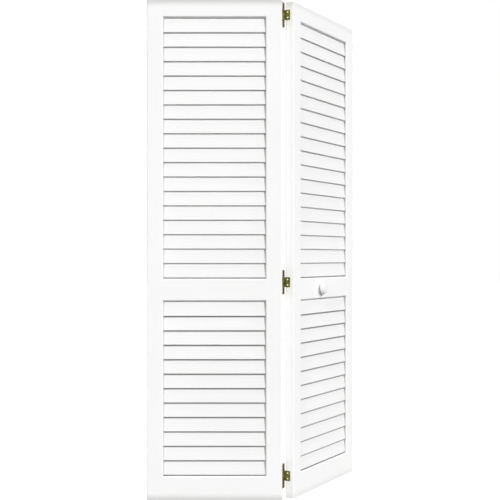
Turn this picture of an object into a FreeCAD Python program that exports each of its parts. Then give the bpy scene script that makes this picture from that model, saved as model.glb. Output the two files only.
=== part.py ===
import FreeCAD, Part
import os
import Sketcher

# Two-leaf folding louvred door, shown half folded. Millimetres and degrees.
# X runs along the left leaf, Y from its front face to its back, Z up from the floor.
# The origin lies on the floor, under the centre of the folded door's box.

doc = FreeCAD.newDocument("louvred_door")
dims = doc.addObject("Spreadsheet::Sheet", "dims")

SIZES = [
    # Both leaves
    ("leaf_width", "533"),
    ("leaf_height", "1981"),
    ("leaf_thickness", "35"),
    ("fold_angle", "63.5"),
    # Frame of stiles and rails
    ("stile_width", "64"),
    ("top_rail_height", "69"),
    ("mid_rail_height", "89"),
    ("bottom_rail_height", "96"),
    ("frame_chamfer", "4"),
    ("sill_rise", "5"),
    ("arris_radius", "3"),
    ("tenon_length", "22"),
    ("tenon_thickness", "12"),
    ("tenon_shoulder", "14"),
    ("mortise_clearance", "0.2"),
    # Slats and the slanted housings that hold their ends
    ("slat_width", "64"),
    ("slat_thickness", "5.5"),
    ("slat_edge_chamfer", "1.2"),
    ("slat_tilt", "7.5"),
    ("slat_setback", "3"),
    ("slat_pitch", "57.2"),
    ("lower_slat_count", "12"),
    ("slat_sill_gap", "3.5"),
    ("slat_head_room", "2.3"),
    ("housing_depth", "8"),
    ("housing_clearance", "0.2"),
    # Hinges between the leaves
    ("hinge_height", "95"),
    ("hinge_plate_thickness", "2"),
    ("hinge_plate_gap", "3"),
    ("hinge_front_margin", "8"),
    ("hinge_spine_width", "6"),
    ("hinge_inner_height", "40"),
    ("hinge_nesting_clearance", "0.5"),
    ("barrel_radius", "4.5"),
    ("barrel_clearance", "3.5"),
    ("pin_radius", "2.25"),
    ("pin_clearance", "0.05"),
    ("pin_end", "1.5"),
    ("screw_hole_radius", "2.2"),
    ("inner_screw_spacing", "22"),
    ("outer_screw_spacing", "14"),
    ("top_hinge_drop", "50"),
    ("middle_hinge_rise", "862"),
    ("bottom_hinge_rise", "88"),
    # Knob on the right leaf
    ("knob_from_hinge_edge", "233"),
    ("knob_radius", "27"),
    ("knob_edge_chamfer", "6"),
    ("knob_stem_radius", "11"),
    ("knob_stem_length", "6"),
    ("knob_projection", "24"),
    # Blind bores for the top and bottom pivots and the track guide
    ("pivot_bore_radius", "4.75"),
    ("pivot_bore_depth", "45"),
]
for row, (alias, value) in enumerate(SIZES, start=1):
    dims.set(f"A{row}", alias)
    dims.set(f"B{row}", value)
    dims.setAlias(f"B{row}", alias)
doc.recompute()

# Heights in one leaf, from the floor
OPENING = "(dims.leaf_width - 2 * dims.stile_width)"
SLAT_MARGIN = "(dims.slat_sill_gap + dims.slat_head_room)"
LOWER_COUNT = "round(dims.lower_slat_count)"
LOWER_PITCH = "dims.slat_pitch"
LOWER_SILL = "dims.bottom_rail_height"
MID_RAIL_BASE = f"({LOWER_SILL} + {LOWER_COUNT} * {LOWER_PITCH} + {SLAT_MARGIN})"
UPPER_SILL = f"({MID_RAIL_BASE} + dims.mid_rail_height)"
TOP_RAIL_BASE = "(dims.leaf_height - dims.top_rail_height)"
UPPER_RUN = f"({TOP_RAIL_BASE} - {UPPER_SILL} - {SLAT_MARGIN})"
UPPER_COUNT = f"round({UPPER_RUN} / dims.slat_pitch)"
UPPER_PITCH = f"({UPPER_RUN} / {UPPER_COUNT})"

# The louvred fields as (sill, number of slats, pitch), and the rails as (base, height)
LOWER_FIELD = (LOWER_SILL, LOWER_COUNT, LOWER_PITCH)
UPPER_FIELD = (UPPER_SILL, UPPER_COUNT, UPPER_PITCH)
BOTTOM_RAIL = ("0", "dims.bottom_rail_height")
MID_RAIL = (MID_RAIL_BASE, "dims.mid_rail_height")
TOP_RAIL = (TOP_RAIL_BASE, "dims.top_rail_height")

# One slat: a flat strip with chamfered edges, its front edge low
SLAT_HALF = "(dims.slat_thickness / 2)"
SLAT_END = "(dims.slat_width / 2)"
SLAT_EDGE = f"({SLAT_HALF} - dims.slat_edge_chamfer)"
SLAT_FLAT = f"({SLAT_END} - dims.slat_edge_chamfer)"
SLAT_HALF_RISE = f"({SLAT_END} * cos(dims.slat_tilt) + {SLAT_EDGE} * sin(dims.slat_tilt))"
SLAT_HALF_DEPTH = f"({SLAT_FLAT} * sin(dims.slat_tilt) + {SLAT_HALF} * cos(dims.slat_tilt))"

# The hinge axis behind the back faces, and the box of the folded door about it
LEAF_GAP = "(2 * dims.hinge_plate_thickness + dims.hinge_plate_gap)"
HALF_GAP = f"({LEAF_GAP} / 2)"
BARREL_OFFSET = "(dims.barrel_radius + dims.barrel_clearance)"
AXIS_DEPTH = f"(dims.leaf_thickness + {BARREL_OFFSET})"
FAR_EDGE = f"({HALF_GAP} + dims.leaf_width - dims.arris_radius)"
BOX_LEFT = f"(-{HALF_GAP} - dims.leaf_width)"
BOX_RIGHT = (
    f"({FAR_EDGE} * cos(dims.fold_angle)"
    f" + ({AXIS_DEPTH} - dims.arris_radius) * sin(dims.fold_angle) + dims.arris_radius)"
)
BOX_FRONT = f"(-{AXIS_DEPTH})"
BOX_BACK = (
    f"({FAR_EDGE} * sin(dims.fold_angle)"
    f" - ({BARREL_OFFSET} + dims.arris_radius) * cos(dims.fold_angle) + dims.arris_radius)"
)
AXIS_X = f"(-({BOX_LEFT} + {BOX_RIGHT}) / 2)"
AXIS_Y = f"(-({BOX_FRONT} + {BOX_BACK}) / 2)"

TOLERANCE = 1e-4
sub_parts = []


def size(expression):
    """The value that an expression has with the sheet's present sizes."""
    return float(dims.evalExpression(str(expression)))


def new_body(label):
    body = doc.addObject("PartDesign::Body", label)
    body.Label = label
    sub_parts.append(body)
    return body


def origin_feature(body, role):
    return next(part for part in body.Origin.OriginFeatures if part.Role == role)


def new_sketch(body, name, role, across="0", up="0", out="0", turn="0"):
    """A sketch on one of the body's origin planes, moved in that plane, off it and turned in it."""
    sketch = body.newObject("Sketcher::SketchObject", name)
    sketch.AttachmentSupport = [(origin_feature(body, role), "")]
    sketch.MapMode = "FlatFace"
    sketch.setExpression("AttachmentOffset.Base.x", across)
    sketch.setExpression("AttachmentOffset.Base.y", up)
    sketch.setExpression("AttachmentOffset.Base.z", out)
    sketch.setExpression("AttachmentOffset.Rotation.Angle", turn)
    return sketch


def bind(sketch, constraint, expression):
    """Adds a constraint that takes its value from an expression."""
    index = sketch.addConstraint(constraint)
    name = f"size_{index}"
    sketch.renameConstraint(index, name)
    sketch.setExpression(f"Constraints.{name}", expression)


def draw_outline(sketch, corners):
    """A closed outline of straight sides through corners given as (across, up) expressions."""
    points = [FreeCAD.Vector(size(across), size(up), 0) for across, up in corners]
    first = sketch.GeometryCount
    for side, start in enumerate(points):
        end = points[(side + 1) % len(points)]
        sketch.addGeometry(Part.LineSegment(start, end), False)
    for side, (across, up) in enumerate(corners):
        here = first + side
        before = first + (side - 1) % len(corners)
        sketch.addConstraint(Sketcher.Constraint("Coincident", before, 2, here, 1))
        bind(sketch, Sketcher.Constraint("DistanceX", -1, 1, here, 1, size(across)), across)
        bind(sketch, Sketcher.Constraint("DistanceY", -1, 1, here, 1, size(up)), up)


def draw_rectangle(sketch, left, bottom, right, top):
    draw_outline(sketch, [(left, bottom), (right, bottom), (right, top), (left, top)])


def draw_circle(sketch, across, up, radius):
    centre = FreeCAD.Vector(size(across), size(up), 0)
    circle = Part.Circle(centre, FreeCAD.Vector(0, 0, 1), size(radius))
    index = sketch.addGeometry(circle, False)
    bind(sketch, Sketcher.Constraint("Radius", index, size(radius)), radius)
    bind(sketch, Sketcher.Constraint("DistanceX", -1, 1, index, 3, centre.x), across)
    bind(sketch, Sketcher.Constraint("DistanceY", -1, 1, index, 3, centre.y), up)


def add_pad(body, name, sketch, length, reversed_way=False):
    pad = body.newObject("PartDesign::Pad", name)
    pad.Profile = sketch
    pad.setExpression("Length", length)
    pad.Reversed = reversed_way
    doc.recompute()
    return pad


def add_pocket(body, name, sketch, depth=None, reversed_way=False):
    """A pocket of a given depth, or right through, which has to take material away."""
    before = body.Shape.Volume
    pocket = body.newObject("PartDesign::Pocket", name)
    pocket.Profile = sketch
    pocket.Reversed = reversed_way
    if depth is None:
        pocket.Type = "ThroughAll"
    else:
        pocket.setExpression("Length", depth)
    doc.recompute()
    if not body.Shape.Volume < before - TOLERANCE:
        raise RuntimeError(f"{body.Label}: {name} cuts nothing")
    return pocket


def add_row(body, name, feature, axis, count, pitch):
    """Repeats a feature along one of the body's axes."""
    row = body.newObject("PartDesign::LinearPattern", name)
    row.Originals = [feature]
    row.Direction = (origin_feature(body, axis), [""])
    row.setExpression("Occurrences", count)
    row.setExpression("Length", f"({count} - 1) * {pitch}")
    body.Tip = row
    doc.recompute()


def edges_where(body, test):
    """The names of the edges of the body's tip whose box passes a test."""
    edges = enumerate(body.Tip.Shape.Edges, start=1)
    return [f"Edge{number}" for number, edge in edges if test(edge.BoundBox)]


def add_edge_cut(body, kind, name, edges, size_property, expression):
    """A chamfer or fillet along chosen edges of the body's tip."""
    base = body.Tip
    cut = body.newObject(f"PartDesign::{kind}", name)
    cut.Base = (base, edges)
    cut.setExpression(size_property, expression)
    doc.recompute()


def place(body, across="0", along="0", height="0", turn="0"):
    body.setExpression("Placement.Base.x", across)
    body.setExpression("Placement.Base.y", along)
    body.setExpression("Placement.Base.z", height)
    body.setExpression("Placement.Rotation.Angle", turn)


def place_on_axis(body, across, along, height="0", turn="0"):
    """Places a body whose own origin lies at (across, along) from the hinge axis, turned about that axis."""
    place(
        body,
        f"{AXIS_X} + ({across}) * cos({turn}) - ({along}) * sin({turn})",
        f"{AXIS_Y} + ({across}) * sin({turn}) + ({along}) * cos({turn})",
        height,
        turn,
    )


class Leaf:
    """One leaf in its own frame: X from the left side of the louvred opening, Y from the front face."""

    def __init__(self, name, across, turn):
        self.name = name
        self.across = across
        self.turn = turn

    def new_body(self, piece):
        return new_body(f"{self.name}_{piece}")

    def place(self, body, across="0", height="0"):
        place_on_axis(body, f"{self.across} + {across}", BOX_FRONT, height, self.turn)


def new_slat_sketch(body, name, sill, nth, pitch, out):
    """A sketch centred on the slat that is nth above a sill, and tilted with it."""
    depth = f"dims.slat_setback + {SLAT_HALF_DEPTH}"
    height = f"{sill} + dims.slat_sill_gap + {SLAT_HALF_RISE} + ({nth}) * {pitch}"
    return new_sketch(body, name, "YZ_Plane", depth, height, out, "-dims.slat_tilt")


def draw_slat(sketch):
    """The section of a slat, with chamfered edges at each end."""
    draw_outline(sketch, [
        (f"-{SLAT_EDGE}", f"-{SLAT_END}"), (SLAT_EDGE, f"-{SLAT_END}"),
        (SLAT_HALF, f"-{SLAT_FLAT}"), (SLAT_HALF, SLAT_FLAT),
        (SLAT_EDGE, SLAT_END), (f"-{SLAT_EDGE}", SLAT_END),
        (f"-{SLAT_HALF}", SLAT_FLAT), (f"-{SLAT_HALF}", f"-{SLAT_FLAT}"),
    ])


def draw_housing(sketch):
    """The slot that takes a slat's end, with a clearance all round."""
    side = f"({SLAT_HALF} + dims.housing_clearance)"
    end = f"({SLAT_END} + dims.housing_clearance)"
    draw_rectangle(sketch, f"-{side}", f"-{end}", side, end)


def add_stile(leaf, piece, on_left):
    """A stile with chamfered inner edges, slanted housings for every slat and a mortise for every rail."""
    body = leaf.new_body(piece)
    inner = "0" if on_left else OPENING
    outer = "-dims.stile_width" if on_left else f"{OPENING} + dims.stile_width"
    side = new_sketch(body, "side", "YZ_Plane", out=inner)
    draw_rectangle(side, "0", "0", "dims.leaf_thickness", "dims.leaf_height")
    add_pad(body, "plank", side, "dims.stile_width", reversed_way=on_left)
    add_edge_cut(body, "Chamfer", "inner_chamfer", long_edges(body, inner), "Size", "dims.frame_chamfer")
    add_edge_cut(body, "Fillet", "outer_arris", long_edges(body, outer), "Radius", "dims.arris_radius")
    for field, (sill, count, pitch) in (("lower", LOWER_FIELD), ("upper", UPPER_FIELD)):
        slot = new_slat_sketch(body, f"{field}_slot", sill, "0", pitch, inner)
        draw_housing(slot)
        housing = add_pocket(body, f"{field}_housing", slot, "dims.housing_depth", not on_left)
        add_row(body, f"{field}_housings", housing, "Z_Axis", count, pitch)
    mortises = new_sketch(body, "mortise_outlines", "YZ_Plane", out=inner)
    for base, height in (BOTTOM_RAIL, MID_RAIL, TOP_RAIL):
        draw_tenon(mortises, base, height, "dims.mortise_clearance")
    depth = "dims.tenon_length + dims.mortise_clearance"
    add_pocket(body, "mortises", mortises, depth, not on_left)
    leaf.place(body)
    return body


def long_edges(body, across):
    """The upright edges of a stile in the plane at this distance across."""
    plane = size(across)
    height = size("dims.leaf_height")

    def in_plane(box):
        return abs(box.XMin - plane) < TOLERANCE and abs(box.XMax - plane) < TOLERANCE

    return edges_where(body, lambda box: in_plane(box) and box.ZLength > height - TOLERANCE)


def draw_tenon(sketch, base, height, clearance="0"):
    half = f"(dims.tenon_thickness / 2 + {clearance})"
    shoulder = f"(dims.tenon_shoulder - {clearance})"
    draw_rectangle(
        sketch,
        f"dims.leaf_thickness / 2 - {half}",
        f"{base} + {shoulder}",
        f"dims.leaf_thickness / 2 + {half}",
        f"{base} + {height} - {shoulder}",
    )


def add_pivot_bore(body, name, centre, at_top):
    """A blind bore in the end of a stile, centred in its width and thickness."""
    end = "dims.leaf_height" if at_top else "0"
    sketch = new_sketch(body, f"{name}_outline", "XY_Plane", out=end)
    draw_circle(sketch, centre, "dims.leaf_thickness / 2", "dims.pivot_bore_radius")
    add_pocket(body, name, sketch, "dims.pivot_bore_depth", not at_top)


def add_rail(leaf, piece, rail, field_below=None, field_above=False):
    """A rail coped over the stiles' chamfers, with a stub tenon at each end.

    field_below is the louvred field under the rail, whose top slat it houses. With a field above,
    the rail's top is a sill that rises towards the back, under the field's lowest slat.
    """
    body = leaf.new_body(piece)
    base, height = rail
    top = f"{base} + {height}"
    thickness = "dims.leaf_thickness"
    chamfer = "dims.frame_chamfer"
    low = [("0", base), (thickness, base)]
    if field_below:
        low = [("0", f"{base} + {chamfer}"), (chamfer, base),
               (f"{thickness} - {chamfer}", base), (thickness, f"{base} + {chamfer}")]
    high = [(thickness, top), ("0", top)]
    if field_above:
        back_top = f"{top} + dims.sill_rise"
        high = [(thickness, f"{back_top} - {chamfer}"), (f"{thickness} - {chamfer}", back_top),
                (chamfer, top), ("0", f"{top} - {chamfer}")]
    section = new_sketch(body, "section", "YZ_Plane", out=f"-{chamfer}")
    draw_outline(section, low + high)
    add_pad(body, "board", section, f"{OPENING} + 2 * {chamfer}")
    copes = new_sketch(body, "cope_outlines", "XY_Plane", out=base)
    for shoulder, tip in (("0", f"-{chamfer}"), (OPENING, f"{OPENING} + {chamfer}")):
        draw_outline(copes, [(tip, "0"), (shoulder, chamfer),
                             (shoulder, f"{thickness} - {chamfer}"), (tip, thickness)])
    add_pocket(body, "copes", copes, reversed_way=True)
    for end, shoulder in (("left", "0"), ("right", OPENING)):
        outline = new_sketch(body, f"{end}_tenon_outline", "YZ_Plane", out=shoulder)
        draw_tenon(outline, base, height)
        add_pad(body, f"{end}_tenon", outline, "dims.tenon_length", reversed_way=end == "left")
    if field_below:
        sill, count, pitch = field_below
        slot = new_slat_sketch(body, "slat_slot", sill, f"{count} - 1", pitch, "-dims.tenon_length")
        draw_housing(slot)
        add_pocket(body, "slat_groove", slot, reversed_way=True)
    leaf.place(body)


def add_slats(leaf, piece, field):
    """A field of like slats, each reaching to the bottom of its housings."""
    body = leaf.new_body(piece)
    sill, count, pitch = field
    outline = new_slat_sketch(body, "outline", sill, "0", pitch, "-dims.housing_depth")
    draw_slat(outline)
    slat = add_pad(body, "slat", outline, f"{OPENING} + 2 * dims.housing_depth")
    add_row(body, "slats", slat, "Z_Axis", count, pitch)
    leaf.place(body)


def add_leaf(leaf, left_piece, right_piece):
    """The frame and slats of one leaf. Returns its left and right stiles."""
    left = add_stile(leaf, left_piece, on_left=True)
    right = add_stile(leaf, right_piece, on_left=False)
    add_rail(leaf, "bottom_rail", BOTTOM_RAIL, field_above=True)
    add_rail(leaf, "mid_rail", MID_RAIL, field_below=LOWER_FIELD, field_above=True)
    add_rail(leaf, "top_rail", TOP_RAIL, field_below=UPPER_FIELD)
    add_slats(leaf, "lower_slats", LOWER_FIELD)
    add_slats(leaf, "upper_slats", UPPER_FIELD)
    return left, right


# Hinge plates in the hinge's own frame: Z along the pin, Y towards the backs of the leaves
HALF_HINGE = "dims.hinge_height / 2"
HALF_INNER = "dims.hinge_inner_height / 2"
KNUCKLE_START = f"({HALF_INNER} + dims.hinge_nesting_clearance)"
OUTER_FREE_EDGE = f"(dims.hinge_front_margin - {AXIS_DEPTH})"
WINDOW_FRONT = f"({OUTER_FREE_EDGE} + dims.hinge_spine_width)"
INNER_FREE_EDGE = f"({WINDOW_FRONT} + dims.hinge_nesting_clearance)"
PLATE_BACK = f"(-{BARREL_OFFSET})"
PIN_BORE = "(dims.pin_radius + dims.pin_clearance)"


def add_knuckle(body, name, start, length):
    sketch = new_sketch(body, f"{name}_outline", "XY_Plane", out=start)
    draw_circle(sketch, "0", "0", "dims.barrel_radius")
    add_pad(body, name, sketch, length)


def bore_knuckles(body):
    sketch = new_sketch(body, "pin_bore_outline", "XY_Plane", out=f"-{HALF_HINGE}")
    draw_circle(sketch, "0", "0", PIN_BORE)
    add_pocket(body, "pin_bore", sketch, reversed_way=True)


def drill_screw_holes(body, plate_face, centres):
    """Screw holes through a plate, with centres as (along, height) expressions."""
    sketch = new_sketch(body, "screw_hole_outlines", "YZ_Plane", out=plate_face)
    for along, height in centres:
        draw_circle(sketch, along, height, "dims.screw_hole_radius")
    add_pocket(body, "screw_holes", sketch, "dims.hinge_plate_thickness", reversed_way=True)


def add_outer_plate(hinge, height):
    """The plate on the left leaf's edge, with a window that the inner plate folds into."""
    body = new_body(f"{hinge}_outer_plate")
    seat = f"-{HALF_GAP}"
    outline = new_sketch(body, "outline", "YZ_Plane", out=seat)
    draw_outline(outline, [
        (OUTER_FREE_EDGE, f"-{HALF_HINGE}"), ("0", f"-{HALF_HINGE}"),
        ("0", f"-{KNUCKLE_START}"), (WINDOW_FRONT, f"-{KNUCKLE_START}"),
        (WINDOW_FRONT, KNUCKLE_START), ("0", KNUCKLE_START),
        ("0", HALF_HINGE), (OUTER_FREE_EDGE, HALF_HINGE),
    ])
    add_pad(body, "plate", outline, "dims.hinge_plate_thickness")
    knuckle_length = f"{HALF_HINGE} - {KNUCKLE_START}"
    add_knuckle(body, "lower_knuckle", f"-{HALF_HINGE}", knuckle_length)
    add_knuckle(body, "upper_knuckle", KNUCKLE_START, knuckle_length)
    bore_knuckles(body)
    middle = f"({OUTER_FREE_EDGE} + {PLATE_BACK}) / 2"
    tab = f"({KNUCKLE_START} + {HALF_HINGE}) / 2"
    spread = "dims.outer_screw_spacing / 2"
    centres = [
        (middle, f"{sign}{tab} {way} {spread}") for sign in ("-", "") for way in ("-", "+")
    ]
    drill_screw_holes(body, seat, centres)
    place_on_axis(body, "0", "0", height)


def add_inner_plate(hinge, height):
    """The plate on the right leaf's edge, drawn as it lies with the leaves in line."""
    body = new_body(f"{hinge}_inner_plate")
    exposed = f"{HALF_GAP} - dims.hinge_plate_thickness"
    outline = new_sketch(body, "outline", "YZ_Plane", out=exposed)
    draw_rectangle(outline, INNER_FREE_EDGE, f"-{HALF_INNER}", "0", HALF_INNER)
    add_pad(body, "plate", outline, "dims.hinge_plate_thickness")
    add_knuckle(body, "knuckle", f"-{HALF_INNER}", "dims.hinge_inner_height")
    bore_knuckles(body)
    middle = f"({INNER_FREE_EDGE} + {PLATE_BACK}) / 2"
    centres = [(middle, f"{sign}dims.inner_screw_spacing / 2") for sign in ("-", "")]
    drill_screw_holes(body, exposed, centres)
    place_on_axis(body, "0", "0", height, "dims.fold_angle")


def add_hinge_pin(hinge, height):
    """A plain pin through the knuckles, standing a little out of both ends."""
    body = new_body(f"{hinge}_pin")
    section = new_sketch(body, "section", "XY_Plane", out=f"-{HALF_HINGE} - dims.pin_end")
    draw_circle(section, "0", "0", "dims.pin_radius")
    add_pad(body, "rod", section, "dims.hinge_height + 2 * dims.pin_end")
    place_on_axis(body, "0", "0", height)


def add_knob(leaf):
    """A turned knob on the mid rail: a stem and a thick round head with chamfered edges."""
    body = new_body("knob")
    radius = "dims.knob_radius"
    flat_radius = f"({radius} - dims.knob_edge_chamfer)"
    head_back = "dims.knob_stem_length"
    head_front = "dims.knob_projection"
    profile = new_sketch(body, "profile", "XY_Plane")
    draw_outline(profile, [
        ("0", "0"),
        ("0", f"-{head_front}"),
        (flat_radius, f"-{head_front}"),
        (radius, f"-({head_front} - dims.knob_edge_chamfer)"),
        (radius, f"-({head_back} + dims.knob_edge_chamfer)"),
        (flat_radius, f"-{head_back}"),
        ("dims.knob_stem_radius", f"-{head_back}"),
        ("dims.knob_stem_radius", "0"),
    ])
    turned = body.newObject("PartDesign::Revolution", "turned_knob")
    turned.Profile = profile
    turned.ReferenceAxis = (origin_feature(body, "Y_Axis"), [""])
    doc.recompute()
    leaf.place(
        body,
        "dims.knob_from_hinge_edge - dims.stile_width",
        f"{MID_RAIL_BASE} + dims.mid_rail_height / 2",
    )


left_leaf = Leaf("left", f"{BOX_LEFT} + dims.stile_width", "0")
right_leaf = Leaf("right", f"{HALF_GAP} + dims.stile_width", "dims.fold_angle")
left_outer_stile, left_hinge_stile = add_leaf(left_leaf, "outer_stile", "hinge_stile")
right_hinge_stile, right_outer_stile = add_leaf(right_leaf, "hinge_stile", "outer_stile")
add_pivot_bore(left_outer_stile, "bottom_pivot_bore", "-dims.stile_width / 2", at_top=False)
add_pivot_bore(left_outer_stile, "top_pivot_bore", "-dims.stile_width / 2", at_top=True)
add_pivot_bore(right_outer_stile, "guide_bore", f"{OPENING} + dims.stile_width / 2", at_top=True)

hinge_heights = {
    "top_hinge": "dims.leaf_height - dims.top_hinge_drop",
    "middle_hinge": "dims.middle_hinge_rise",
    "bottom_hinge": "dims.bottom_hinge_rise",
}
for hinge, height in hinge_heights.items():
    add_outer_plate(hinge, height)
    add_inner_plate(hinge, height)
    add_hinge_pin(hinge, height)
add_knob(right_leaf)

doc.recompute()
for item in doc.Objects:
    if {"Invalid", "Error"} & set(item.State):
        raise RuntimeError(f"{item.Label} failed: {item.State}")
for body in sub_parts:
    if body.Shape.isNull() or not body.Shape.isValid():
        raise RuntimeError(f"{body.Label} has no valid shape")

os.makedirs("parts", exist_ok=True)
for body in sub_parts:
    body.Shape.exportStep(f"parts/{body.Label}.step")
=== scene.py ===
import math

import bmesh
import bpy
from mathutils import Matrix, Vector


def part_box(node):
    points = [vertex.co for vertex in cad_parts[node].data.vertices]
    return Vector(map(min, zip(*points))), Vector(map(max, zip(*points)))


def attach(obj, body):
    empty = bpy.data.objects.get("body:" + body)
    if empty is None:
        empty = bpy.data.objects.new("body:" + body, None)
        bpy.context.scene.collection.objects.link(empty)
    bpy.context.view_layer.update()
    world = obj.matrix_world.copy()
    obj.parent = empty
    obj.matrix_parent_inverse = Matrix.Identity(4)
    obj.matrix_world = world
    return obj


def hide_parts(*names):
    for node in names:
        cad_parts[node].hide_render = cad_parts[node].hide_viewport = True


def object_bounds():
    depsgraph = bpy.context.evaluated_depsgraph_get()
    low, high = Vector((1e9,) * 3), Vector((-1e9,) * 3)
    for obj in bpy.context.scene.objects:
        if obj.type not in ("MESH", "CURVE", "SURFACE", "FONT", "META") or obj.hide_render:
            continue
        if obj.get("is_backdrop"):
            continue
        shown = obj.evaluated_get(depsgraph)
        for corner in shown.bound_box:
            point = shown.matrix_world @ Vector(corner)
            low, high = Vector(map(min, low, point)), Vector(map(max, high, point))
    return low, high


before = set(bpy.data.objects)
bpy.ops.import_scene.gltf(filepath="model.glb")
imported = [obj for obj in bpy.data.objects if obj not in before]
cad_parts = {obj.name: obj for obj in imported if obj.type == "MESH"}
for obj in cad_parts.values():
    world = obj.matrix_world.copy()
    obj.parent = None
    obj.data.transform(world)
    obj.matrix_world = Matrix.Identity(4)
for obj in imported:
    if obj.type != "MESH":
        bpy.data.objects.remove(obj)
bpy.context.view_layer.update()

ALONG = Vector((1, 0, 0))
BACKWARDS = Vector((0, 1, 0))
UPWARDS = Vector((0, 0, 1))

STILES = ("outer_stile", "hinge_stile")
SILL_RAILS = ("bottom_rail", "mid_rail")
RAILS = (*SILL_RAILS, "top_rail")
SLAT_COUNTS = {"lower": 12, "upper": 18}
HINGES = ("top_hinge", "middle_hinge", "bottom_hinge")


def middle_of(node):
    low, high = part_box(node)
    return (low + high) / 2


def reach(node, way):
    """How far a node reaches along a direction, least and most."""
    reaches = [vert.co.dot(way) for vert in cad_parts[node].data.vertices]
    return min(reaches), max(reaches)


def upright_turn(angle):
    return Matrix.Rotation(angle, 4, "Z")


def leaf_turn(rail):
    """How far a leaf is turned from the left leaf, from the broadest face of one of its rails."""
    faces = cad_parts[rail].data.polygons
    normal = max(faces, key=lambda face: face.area).normal.copy()
    if normal.y > 0:
        normal.negate()
    return math.atan2(normal.x, -normal.y)


FOLD = leaf_turn("right_top_rail")
LEAF_TURNS = {"left": 0.0, "right": FOLD}


class Wire:
    """A number that varies over a surface. Sums, differences and products of wires add Math nodes."""

    def __init__(self, nodes, socket):
        self.nodes = nodes
        self.socket = socket

    def maths(self, operation, first, second=0.0):
        settings = {"operation": operation}
        return self.nodes.node("ShaderNodeMath", "Value", settings, {0: first, 1: second})

    def __add__(self, other):
        return self.maths("ADD", self, other)

    def __radd__(self, other):
        return self.maths("ADD", other, self)

    def __sub__(self, other):
        return self.maths("SUBTRACT", self, other)

    def __rsub__(self, other):
        return self.maths("SUBTRACT", other, self)

    def __mul__(self, other):
        return self.maths("MULTIPLY", self, other)

    def __rmul__(self, other):
        return self.maths("MULTIPLY", other, self)

    def most(self, other):
        return self.maths("MAXIMUM", self, other)

    def fraction(self):
        return self.maths("FRACT", self)


class Nodes:
    """A node tree in the making, with one method for any node."""

    def __init__(self, tree):
        self.tree = tree

    def node(self, kind, output, settings, sockets):
        """Adds a node, with its settings first and then its sockets, and gives one of its outputs."""
        made = self.tree.nodes.new(kind)
        for name, value in settings.items():
            setattr(made, name, value)
        for name, value in sockets.items():
            self.feed(made.inputs[name], value)
        return Wire(self, made.outputs[output])

    def feed(self, socket, value):
        """Links a wire to a socket, or sets the socket to a plain value."""
        if isinstance(value, Wire):
            self.tree.links.new(value.socket, socket)
        else:
            socket.default_value = value

    def seen_rays(self):
        """1 for rays that show the background: from the camera, in gloss or through glass. Else 0."""
        camera = self.node("ShaderNodeLightPath", "Is Camera Ray", {}, {})
        path = camera.socket.node.outputs
        gloss = Wire(self, path["Is Glossy Ray"])
        glass = Wire(self, path["Is Transmission Ray"])
        return camera.most(gloss).most(glass)


NOISE_ROUGHNESS = 0.55


class Finish(Nodes):
    """A material in the making."""

    def __init__(self, name):
        self.material = bpy.data.materials.new(name)
        self.material.use_nodes = True
        super().__init__(self.material.node_tree)
        self.shader = self.tree.nodes["Principled BSDF"]

    def set(self, **sockets):
        """Sets or links sockets of the shader, named with underscores for spaces."""
        for name, value in sockets.items():
            self.feed(self.shader.inputs[name.replace("_", " ")], value)

    def place(self, cell, turn):
        """Object coordinates in cells of a given size in metres, turned about the upright."""
        here = self.node("ShaderNodeTexCoord", "Object", {}, {})
        return self.node(
            "ShaderNodeMapping", "Vector", {"vector_type": "TEXTURE"},
            {"Vector": here, "Rotation": (0.0, 0.0, turn), "Scale": cell},
        )

    def leaf_place(self, turn):
        """Where a point is along a leaf, how deep and how high, in metres, each as a wire."""
        place = self.place(cube(1.0), turn)
        along = self.node("ShaderNodeSeparateXYZ", "X", {}, {"Vector": place})
        return [Wire(self, socket) for socket in along.socket.node.outputs]

    def noise(self, cell, turn=0.0, detail=2.0):
        """A cloudy pattern in cells of a given size in metres."""
        place = self.place(cell, turn)
        return self.node(
            "ShaderNodeTexNoise", "Fac", {},
            {"Vector": place, "Scale": 1.0, "Detail": detail, "Roughness": NOISE_ROUGHNESS},
        )

    def ramp(self, value, low, high):
        """A value stretched so that low becomes 0 and high becomes 1, clamped and eased."""
        return self.node(
            "ShaderNodeMapRange", "Result", {"interpolation_type": "SMOOTHSTEP"},
            {"Value": value, "From Min": low, "From Max": high},
        )

    def blend(self, share, first, second):
        """A colour between two others."""
        return self.node("ShaderNodeMix", 2, {"data_type": "RGBA"}, {0: share, 6: first, 7: second})

    def bump(self, height, depth, strength):
        return self.node(
            "ShaderNodeBump", "Normal", {},
            {"Height": height, "Distance": depth, "Strength": strength},
        )


def cube(size):
    return (size, size, size)


def colour(red, green, blue):
    return (red, green, blue, 1.0)


def mixed(first, second, share):
    """Two patterns in one, with the given share of the first."""
    return first * share + second * (1 - share)


# The grey of painted shade: the paints below darken towards it where shade and shadows fall
SHADE_GREY = colour(0.14, 0.135, 0.13)

# Satin paint: its whites, the sizes of its patterns in metres, how they dull it, and its relief
FRAME_WHITE = (colour(0.905, 0.905, 0.900), colour(0.940, 0.940, 0.937))
# The slats' white is darker than the frame's, as painted shade that offsets the extra light their upturned
# faces catch
SHADED_SLAT_WHITE = (colour(0.835, 0.835, 0.831), colour(0.875, 0.875, 0.872))
MARK_LONG = 0.25
MARK_WIDE = 0.0016
LEVEL_MARKS = (MARK_LONG, MARK_WIDE, MARK_WIDE)
UPRIGHT_MARKS = (MARK_WIDE, MARK_WIDE, MARK_LONG)
PAINT_CLOUD = 0.35
ORANGE_PEEL = 0.0025
MARKS_IN_SHADE = 0.5
SHADE_SPAN = (0.3, 0.7)
PAINT_ROUGHNESS = 0.46
MARKS_DULL = 0.14
PEEL_DULLS = 0.06
PAINT_SPECULAR = 0.3
MARKS_IN_RELIEF = 0.7
PAINT_RELIEF = {"depth": 0.0005, "strength": 0.25}


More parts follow.
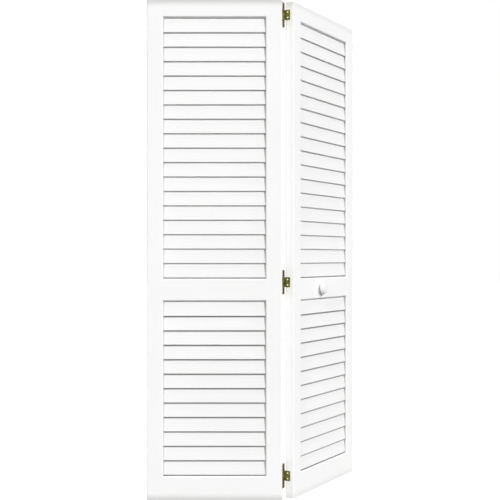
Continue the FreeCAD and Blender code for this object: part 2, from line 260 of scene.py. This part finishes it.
def white_paint(name, brush_marks, turn, whites, shade_share):
    """Satin white paint, brushed along the wood, darkened by painted shade where the share function says.
    """
    finish = Finish(name)
    marks = finish.noise(brush_marks, turn, detail=3.0)
    clouds = finish.noise(cube(PAINT_CLOUD), detail=1.0)
    orange_peel = finish.noise(cube(ORANGE_PEEL))
    shade = finish.ramp(mixed(marks, clouds, MARKS_IN_SHADE), *SHADE_SPAN)
    paint = finish.blend(shade, *whites)
    # Painted shade: the share function darkens the paint where shade and shadows fall on it
    painted_shade = shade_share(finish, *finish.leaf_place(turn))
    finish.set(
        Base_Color=finish.blend(painted_shade, paint, SHADE_GREY),
        Roughness=PAINT_ROUGHNESS + marks * MARKS_DULL + orange_peel * PEEL_DULLS,
        Specular_IOR_Level=PAINT_SPECULAR,
        Normal=finish.bump(mixed(marks, orange_peel, MARKS_IN_RELIEF), **PAINT_RELIEF),
    )
    return finish.material


# How the slats and sills lie, as in the solids, in metres
HOUSED_END = 0.008
SLAT_RISE = 0.06386
SLAT_MIDDLE_DEPTH = 0.013
SILL_RISE = 0.005

# Painted shade, its reach in metres and its share of the paint: under the next slat's edge, at the slats'
# ends, in the corner of the outer stiles, on the sills, and at a leaf's head and foot.
# At a slat's right end it stands for the stile's shadow and widens upwards by the wedge.
UNDER_SLAT_SHADE = {"lower": 0.008, "upper": 0.004}
UNDER_SLAT_SHADE_SHARE = {"lower": 0.7, "upper": 0.1}
LEFT_END_SHADE = 0.004
LEFT_END_SHADE_SHARE = 0.25
RIGHT_END_SHADE = {"left": 0.003, "right": 0.008}
RIGHT_END_SHADE_WEDGE = {"left": 0.0065, "right": 0.0}
RIGHT_END_SHADE_SHARE = 0.65
CORNER_SHADE = 0.003
CORNER_SHADE_SHARE = {"outer_stile": 0.45, "hinge_stile": 0.0}
SILL_SHADE_EDGE = 0.0015
LEAF_END_SHADE = 0.030
LEAF_END_SHADE_SHARE = {"left": 0.34, "right": 0.12}
SOFT_EDGE = 0.0005


# Painted shade, darkening a leaf towards its head and foot
def leaf_end_shade(finish, leaf, height):
    low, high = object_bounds()
    foot = finish.ramp(height, low.z + LEAF_END_SHADE, low.z)
    head = finish.ramp(height, high.z - LEAF_END_SHADE, high.z)
    return LEAF_END_SHADE_SHARE[leaf] * foot.most(head)


def stile_shade(leaf, stile):
    """Painted shade at the ends of a stile and, on the outer stiles, in the corner beside the slats."""
    least, most = reach(f"{leaf}_{stile}", upright_turn(LEAF_TURNS[leaf]) @ ALONG)
    inner, inward = (most, 1) if leaf == "left" else (least, -1)

    def share(finish, along, depth, height):
        # Painted shade in the corner beside the slats
        corner = finish.ramp(along, inner - inward * CORNER_SHADE, inner)
        return leaf_end_shade(finish, leaf, height).most(CORNER_SHADE_SHARE[stile] * corner)

    return share


def rail_shade(leaf):
    """Painted shade in the slits over the sills, which are the tops of the two lower rails."""
    sills = [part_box(f"{leaf}_{rail}")[1].z - SILL_RISE for rail in SILL_RAILS]

    def share(finish, along, depth, height):
        total = leaf_end_shade(finish, leaf, height)
        for sill in sills:
            # Painted shade in the slit between the sill and the lowest slat
            above = finish.ramp(height, sill - SILL_SHADE_EDGE, sill)
            below_back = finish.ramp(height, sill + SILL_RISE, sill + SILL_RISE / 2)
            total = total.most(above * below_back)
        return total

    return share


def slat_shade(leaf, field):
    """Painted shade on the front of each slat but the top one under the edge of the next, and at the slats'
    ends.
    """
    node = f"{leaf}_{field}_slats"
    steps = SLAT_COUNTS[field] - 1
    low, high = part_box(node)
    pitch = (high.z - low.z - SLAT_RISE) / steps
    turn = upright_turn(LEAF_TURNS[leaf])
    start, stop = reach(node, turn @ ALONG)
    left_stile = start + HOUSED_END
    right_stile = stop - HOUSED_END
    leaf_front = reach(f"{leaf}_mid_rail", turn @ BACKWARDS)[0]
    slat_middle = leaf_front + SLAT_MIDDLE_DEPTH
    top_slat = low.z + steps * pitch
    strip = UNDER_SLAT_SHADE[field] / pitch

    def share(finish, along, depth, height):
        up_slat = ((height - low.z) * (1 / pitch)).fraction()
        # Painted shade in the crevice under the next slat's edge
        under = finish.ramp(up_slat, 1 - strip, 1 - strip / 2)
        below_top = finish.ramp(height, top_slat + pitch / 2, top_slat)
        in_front = finish.ramp(depth, slat_middle + SOFT_EDGE, slat_middle - SOFT_EDGE)
        under_next = UNDER_SLAT_SHADE_SHARE[field] * under * in_front * below_top
        # Painted shade at the slats' ends; at the right end a painted shadow of the stile, wider where the
        # slat lies deeper
        left_end = finish.ramp(along, left_stile + LEFT_END_SHADE, left_stile)
        shadow_wedge = RIGHT_END_SHADE_WEDGE[leaf] * up_slat
        right_end = finish.ramp(along + shadow_wedge, right_stile - RIGHT_END_SHADE[leaf], right_stile)
        return under_next.most(LEFT_END_SHADE_SHARE * left_end).most(RIGHT_END_SHADE_SHARE * right_end)

    return share


# Brasses of the hinges: the bright colour, the tarnished one, and the share that is tarnished
PALE_BRASS = (colour(0.66, 0.61, 0.44), colour(0.20, 0.17, 0.10), 0.25)
OLIVE_BRASS = (colour(0.25, 0.25, 0.07), colour(0.08, 0.085, 0.015), 0.3)
DARK_BRASS = (colour(0.20, 0.16, 0.08), colour(0.05, 0.04, 0.02), 0.4)
SCREW_BRASS = (colour(0.92, 0.92, 0.62), colour(0.50, 0.47, 0.25), 0.1)

# Sizes of the patterns on brass in metres, how they dull it, and its relief
TARNISH_PATCH = (0.011, 0.011, 0.016)
UPRIGHT_SCRATCH = (0.0007, 0.0007, 0.012)
SPECK = 0.0015
PATCHES_IN_TARNISH = 0.7
SCRATCHES_IN_TARNISH = 0.2
TARNISH_SPAN = (0.75, 1.05)
BRASS_ROUGHNESS = 0.24
TARNISH_DULLS = 0.26
SCRATCHES_DULL = 0.10
SCRATCHES_IN_RELIEF = 0.5
BRASS_RELIEF = {"depth": 0.0002, "strength": 0.3}

# Painted shade on the knuckles of the outer plates, which stand behind the leaf
KNUCKLE_SHADE = colour(0.05, 0.042, 0.025)
KNUCKLE_SHADE_SHARE = 0.9
KNUCKLE_SHADE_EDGE = 0.002


def aged_brass(name, bright, dull, tarnish, knuckle_depth=None):
    """Brass with tarnish in patches, specks and fine upright scratches, and painted shade on any knuckles.
    """
    finish = Finish(name)
    patches = finish.noise(TARNISH_PATCH, detail=4.0)
    scratches = finish.noise(UPRIGHT_SCRATCH)
    specks = finish.noise(cube(SPECK))
    start, full = TARNISH_SPAN
    stains = mixed(patches, specks, PATCHES_IN_TARNISH) + scratches * SCRATCHES_IN_TARNISH
    cover = finish.ramp(stains, start - tarnish, full - tarnish)
    brass = finish.blend(cover, bright, dull)
    # Painted shade on the knuckle behind the leaf
    if knuckle_depth is not None:
        depth = finish.leaf_place(0.0)[1]
        edges = (knuckle_depth - KNUCKLE_SHADE_EDGE, knuckle_depth + KNUCKLE_SHADE_EDGE)
        behind = finish.ramp(depth, *edges)
        brass = finish.blend(KNUCKLE_SHADE_SHARE * behind, brass, KNUCKLE_SHADE)
    finish.set(
        Base_Color=brass,
        Metallic=1.0,
        Roughness=BRASS_ROUGHNESS + cover * TARNISH_DULLS + scratches * SCRATCHES_DULL,
        Normal=finish.bump(mixed(scratches, specks, SCRATCHES_IN_RELIEF), **BRASS_RELIEF),
    )
    return finish.material


# Enamel of the knob: its whites, the sizes of its patterns in metres, its gloss and its relief
ENAMEL_WHITE = (colour(0.840, 0.840, 0.835), colour(0.880, 0.880, 0.875))
ENAMEL_WAVE = 0.006
ENAMEL_CLOUD = 0.02
ENAMEL_ROUGHNESS = 0.20
WAVES_DULL = 0.10
ENAMEL_RELIEF = {"depth": 0.0004, "strength": 0.2}
GLOSS_COAT = 0.4
GLOSS_COAT_ROUGHNESS = 0.12

# Painted shade on the knob, in two rings: its rise from the rail where each starts, is thickest and ends,
# and its share
KNOB_BACK_SHADE = (0.0060, 0.0085, 0.0125, 0.12)
KNOB_FACE_SHADE = (0.0165, 0.0190, 0.0215, 0.35)


def white_enamel(name):
    """Gloss white enamel on turned wood, with the faint waves of a sprayed coat and two rings of painted
    shade.
    """
    finish = Finish(name)
    waves = finish.noise(cube(ENAMEL_WAVE))
    clouds = finish.noise(cube(ENAMEL_CLOUD))
    enamel = finish.blend(clouds, *ENAMEL_WHITE)
    rail_face = reach("knob", upright_turn(FOLD) @ BACKWARDS)[1]
    rise = rail_face - finish.leaf_place(FOLD)[1]
    # Two rings of painted shade: where the knob's back meets the rail, and round the edge of its face
    back_ring, face_ring = [
        share * finish.ramp(rise, start, thickest) * finish.ramp(rise, end, thickest)
        for start, thickest, end, share in (KNOB_BACK_SHADE, KNOB_FACE_SHADE)
    ]
    finish.set(
        Base_Color=finish.blend(back_ring.most(face_ring), enamel, SHADE_GREY),
        Roughness=ENAMEL_ROUGHNESS + waves * WAVES_DULL,
        Normal=finish.bump(waves, **ENAMEL_RELIEF),
        Coat_Weight=GLOSS_COAT,
        Coat_Roughness=GLOSS_COAT_ROUGHNESS,
    )
    return finish.material


def dress(node, material):
    """Gives a CAD node its finish."""
    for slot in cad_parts[node].material_slots:
        slot.material = material


def add_mesh(name, maker, material):
    """A new object with its place in its mesh."""
    mesh = bpy.data.meshes.new(name)
    maker.to_mesh(mesh)
    maker.free()
    mesh.materials.append(material)
    made = bpy.data.objects.new(name, mesh)
    bpy.context.scene.collection.objects.link(made)
    return made


def add_piece(name, maker, material):
    """A new piece of the part, riding on its one body."""
    piece = add_mesh(name, maker, material)
    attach(piece, "root")
    return piece


def stand_on(face_normal, point):
    """The matrix that stands a shape made along the upright on a face at a point."""
    return Matrix.Translation(point) @ face_normal.to_track_quat("Z", "Y").to_matrix().to_4x4()


def all_of(maker):
    return maker.verts[:] + maker.edges[:] + maker.faces[:]


def verts_in(geometry):
    return [item for item in geometry if isinstance(item, bmesh.types.BMVert)]


# Screws of the hinges, in metres, and the turns of their slots in radians
HEAD_RADIUS = 0.0034
HEAD_RISE = 0.0013
HEAD_CROWN = 0.0009
HEAD_SIDES = 24
CROWN_STEPS = 3
SLOT_WIDTH = 0.0009
SLOT_DEPTH = 0.0005
FIRST_SLOT_TURN = 0.6
NEXT_SLOT_TURN = 1.1

# How upright the normal of a level face is at least, and how near to a vertex a cut goes through it
LEVEL_FACE = 0.99
CUT_SNAP = 1e-7


def add_screw_head(maker):
    """A raised screw head about the upright, with a slot cut across it."""
    bmesh.ops.create_cone(
        maker, cap_ends=True, segments=HEAD_SIDES, radius1=HEAD_RADIUS, radius2=HEAD_RADIUS,
        depth=HEAD_RISE, matrix=Matrix.Translation(UPWARDS * HEAD_RISE / 2),
    )
    rim = [edge for edge in maker.edges if all(vert.co.z > HEAD_RISE / 2 for vert in edge.verts)]
    bmesh.ops.bevel(
        maker, geom=rim, offset=HEAD_CROWN, offset_type="OFFSET", affect="EDGES",
        segments=CROWN_STEPS, profile=0.5, material=-1,
    )
    for side in (-1, 1):
        bmesh.ops.bisect_plane(
            maker, geom=all_of(maker), dist=CUT_SNAP,
            plane_co=ALONG * side * SLOT_WIDTH / 2, plane_no=ALONG,
        )
    slot = [
        face for face in maker.faces
        if face.normal.z > LEVEL_FACE and abs(face.calc_center_median().x) < SLOT_WIDTH / 2
    ]
    sunk = bmesh.ops.extrude_face_region(maker, geom=slot)
    bmesh.ops.translate(maker, verts=verts_in(sunk["geom"]), vec=-UPWARDS * SLOT_DEPTH)
    bmesh.ops.delete(maker, geom=slot, context="FACES_ONLY")


def add_screws(name, points, face_normal, material):
    """Screws on a plate, each with its slot turned further than the one before."""
    maker = bmesh.new()
    add_screw_head(maker)
    pattern = all_of(maker)
    for number, point in enumerate(points):
        copy = bmesh.ops.duplicate(maker, geom=pattern)
        slot_turn = upright_turn(FIRST_SLOT_TURN + number * NEXT_SLOT_TURN)
        place = stand_on(face_normal, point) @ slot_turn
        bmesh.ops.transform(maker, matrix=place, verts=verts_in(copy["geom"]))
    bmesh.ops.delete(maker, geom=verts_in(pattern), context="VERTS")
    bmesh.ops.recalc_face_normals(maker, faces=maker.faces)
    add_piece(name, maker, material)


# Places of the screws on a hinge, from its middle and its pin, in metres
OUTER_SCREW_HEIGHTS = (-0.041, -0.027, 0.027, 0.041)
INNER_SCREW_HEIGHTS = (-0.011, 0.011)
PLATE_FACE_FROM_PIN = 0.0015
INNER_PLATE_REACH = 0.0285


def add_hinge_screws(hinge, stile_back, outer_brass, inner_brass):
    """Four screws on the outer plate and two on the inner one."""
    pin = middle_of(f"{hinge}_pin")
    plate_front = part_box(f"{hinge}_outer_plate")[0].y
    outer_x = pin.x - PLATE_FACE_FROM_PIN
    outer_y = (plate_front + stile_back) / 2
    outer_points = [Vector((outer_x, outer_y, pin.z + height)) for height in OUTER_SCREW_HEIGHTS]
    add_screws(f"{hinge}_outer_screws", outer_points, ALONG, outer_brass)
    turn = upright_turn(FOLD)
    inner_depth = (stile_back - pin.y - INNER_PLATE_REACH) / 2
    inner_points = [
        pin + turn @ Vector((PLATE_FACE_FROM_PIN, inner_depth, height)) for height in INNER_SCREW_HEIGHTS
    ]
    add_screws(f"{hinge}_inner_screws", inner_points, turn @ -ALONG, inner_brass)


# The knob's turned outline as (radius, rise from the rail), from its foot to its face, in metres
KNOB_OUTLINE = (
    (0.0110, 0.0), (0.0104, 0.0035), (0.0125, 0.0060), (0.0205, 0.0068), (0.0262, 0.0105),
    (0.0270, 0.0145), (0.0256, 0.0188), (0.0195, 0.0222), (0.0100, 0.0237), (0.0, 0.0240),
)
KNOB_STEPS = 32
KNOB_SMOOTHING = 2
MERGE_DISTANCE = 1e-6


def add_knob(material):
    """A turned knob, spun from its outline about its own axis."""
    turn = upright_turn(FOLD)
    axis = turn @ -BACKWARDS
    foot = axis * reach("knob", axis)[0]
    for way in (turn @ ALONG, UPWARDS):
        foot += way * sum(reach("knob", way)) / 2
    maker = bmesh.new()
    verts = [maker.verts.new((radius, 0, rise)) for radius, rise in KNOB_OUTLINE]
    edges = [maker.edges.new(pair) for pair in zip(verts, verts[1:])]
    bmesh.ops.spin(
        maker, geom=verts + edges, cent=(0, 0, 0), axis=UPWARDS, angle=math.tau,
        steps=KNOB_STEPS, use_merge=True, use_duplicate=False,
    )
    bmesh.ops.remove_doubles(maker, verts=maker.verts, dist=MERGE_DISTANCE)
    bmesh.ops.holes_fill(maker, edges=maker.edges, sides=KNOB_STEPS)
    bmesh.ops.recalc_face_normals(maker, faces=maker.faces)
    bmesh.ops.transform(maker, matrix=stand_on(axis, foot), verts=maker.verts)
    for face in maker.faces:
        face.smooth = True
    knob = add_piece("turned_knob", maker, material)
    smoothing = knob.modifiers.new("smoothing", "SUBSURF")
    smoothing.levels = KNOB_SMOOTHING
    smoothing.render_levels = KNOB_SMOOTHING
    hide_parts("knob")


def paint_leaf(leaf):
    """Paints the pieces of a leaf, each with its brush marks along the wood."""
    turn = LEAF_TURNS[leaf]
    for stile in STILES:
        painted_shade = stile_shade(leaf, stile)
        paint = white_paint(f"{leaf}_{stile}_paint", UPRIGHT_MARKS, turn, FRAME_WHITE, painted_shade)
        dress(f"{leaf}_{stile}", paint)
    rail_paint = white_paint(f"{leaf}_rail_paint", LEVEL_MARKS, turn, FRAME_WHITE, rail_shade(leaf))
    for rail in RAILS:
        dress(f"{leaf}_{rail}", rail_paint)
    for field in SLAT_COUNTS:
        painted_shade = slat_shade(leaf, field)
        paint = white_paint(f"{leaf}_{field}_slat_paint", LEVEL_MARKS, turn, SHADED_SLAT_WHITE, painted_shade)
        dress(f"{leaf}_{field}_slats", paint)


def finish_hinges():
    """Gives the hinges their brasses and their screws."""
    stile_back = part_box("left_hinge_stile")[1].y
    pale_brass = aged_brass("pale_brass", *PALE_BRASS, knuckle_depth=stile_back)
    olive_brass = aged_brass("olive_brass", *OLIVE_BRASS)
    dark_brass = aged_brass("dark_brass", *DARK_BRASS)
    screw_brass = aged_brass("screw_brass", *SCREW_BRASS)
    for hinge in HINGES:
        dress(f"{hinge}_outer_plate", pale_brass)
        dress(f"{hinge}_inner_plate", olive_brass)
        dress(f"{hinge}_pin", dark_brass)
        add_hinge_screws(hinge, stile_back, dark_brass, screw_brass)


# The floor: its size and grain in metres, its greys, and how much it glows to look white
FLOOR_SIZE = 60.0
FLOOR_GREY = (colour(0.13, 0.13, 0.13), colour(0.15, 0.15, 0.15))
FLOOR_GRAIN = 0.05
FLOOR_ROUGHNESS = 0.9
FLOOR_GLOW = 0.86


def add_floor():
    """A pale floor that keeps the part's shadow and lightens to white where the camera sees it."""
    finish = Finish("pale_floor")
    grain = finish.noise(cube(FLOOR_GRAIN))
    finish.set(Base_Color=finish.blend(grain, *FLOOR_GREY), Roughness=FLOOR_ROUGHNESS)
    lit = Wire(finish, finish.shader.outputs["BSDF"])
    strength = FLOOR_GLOW * finish.seen_rays()
    glow = finish.node("ShaderNodeEmission", "Emission", {}, {"Strength": strength})
    both = finish.node("ShaderNodeAddShader", "Shader", {}, {0: lit, 1: glow})
    finish.feed(finish.tree.nodes["Material Output"].inputs["Surface"], both)
    maker = bmesh.new()
    bmesh.ops.create_grid(maker, x_segments=1, y_segments=1, size=FLOOR_SIZE / 2)
    add_mesh("floor", maker, finish.material)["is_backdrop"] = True


# Light levels: a white surface square to a lamp of level 1 would render as full white
SKY_LEVEL = 0.20
LAMPS = (
    # name, level, degrees to the right of the camera, degrees up, degrees across
    ("key_lamp", 0.56, 40, 30, 8),
    ("left_lamp", 0.45, -20, 31, 12),
    ("right_lamp", 0.36, 80, 31, 25),
    ("back_lamp", 0.70, -150, 27, 25),
)


def add_sky():
    """Plain white to look at, and a soft even light on the part."""
    world = bpy.data.worlds.new("studio")
    world.use_nodes = True
    sky = Nodes(world.node_tree)
    background = sky.tree.nodes["Background"]
    sky.feed(background.inputs["Color"], colour(1, 1, 1))
    sky.feed(background.inputs["Strength"], SKY_LEVEL + (1 - SKY_LEVEL) * sky.seen_rays())
    bpy.context.scene.world = world


def add_lamps():
    for name, level, right, up, spread in LAMPS:
        lamp = bpy.data.lights.new(name, "SUN")
        lamp.energy = level * math.pi
        lamp.angle = math.radians(spread)
        holder = bpy.data.objects.new(name, lamp)
        holder.rotation_euler = (math.radians(90 - up), 0, math.radians(right))
        bpy.context.scene.collection.objects.link(holder)


# The photo's framing, in pixels of its square frame, and the eye's distance in metres
FRAME_PX = 500
LEAF_HEAD_PX = -0.3
LEAF_FOOT_PX = 500.3
HINGE_EDGE_PX = 281.8
EYE_ACROSS_PX = 350.0
EYE_LEVEL_PX = 256.7
EYE_DISTANCE = 3.690
SENSOR_MM = 36.0


def add_camera():
    """Square to the left leaf's front, with the lens shifted as the photo is framed."""
    low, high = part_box("left_hinge_stile")
    metres_per_px = (high.z - low.z) / (LEAF_FOOT_PX - LEAF_HEAD_PX)
    lens = bpy.data.cameras.new("camera")
    lens.sensor_width = SENSOR_MM
    lens.lens = SENSOR_MM * EYE_DISTANCE / (metres_per_px * FRAME_PX)
    lens.shift_x = (FRAME_PX / 2 - EYE_ACROSS_PX) / FRAME_PX
    lens.shift_y = (EYE_LEVEL_PX - FRAME_PX / 2) / FRAME_PX
    camera = bpy.data.objects.new("camera", lens)
    camera.location = (
        high.x + (EYE_ACROSS_PX - HINGE_EDGE_PX) * metres_per_px,
        low.y - EYE_DISTANCE,
        (LEAF_FOOT_PX - EYE_LEVEL_PX) * metres_per_px,
    )
    camera.rotation_euler = (math.pi / 2, 0, 0)
    bpy.context.scene.collection.objects.link(camera)
    bpy.context.scene.camera = camera


for leaf in LEAF_TURNS:
    paint_leaf(leaf)
finish_hinges()
add_knob(white_enamel("knob_enamel_coat"))

add_floor()
add_sky()
add_lamps()
add_camera()
bpy.context.scene.view_settings.view_transform = "Standard"
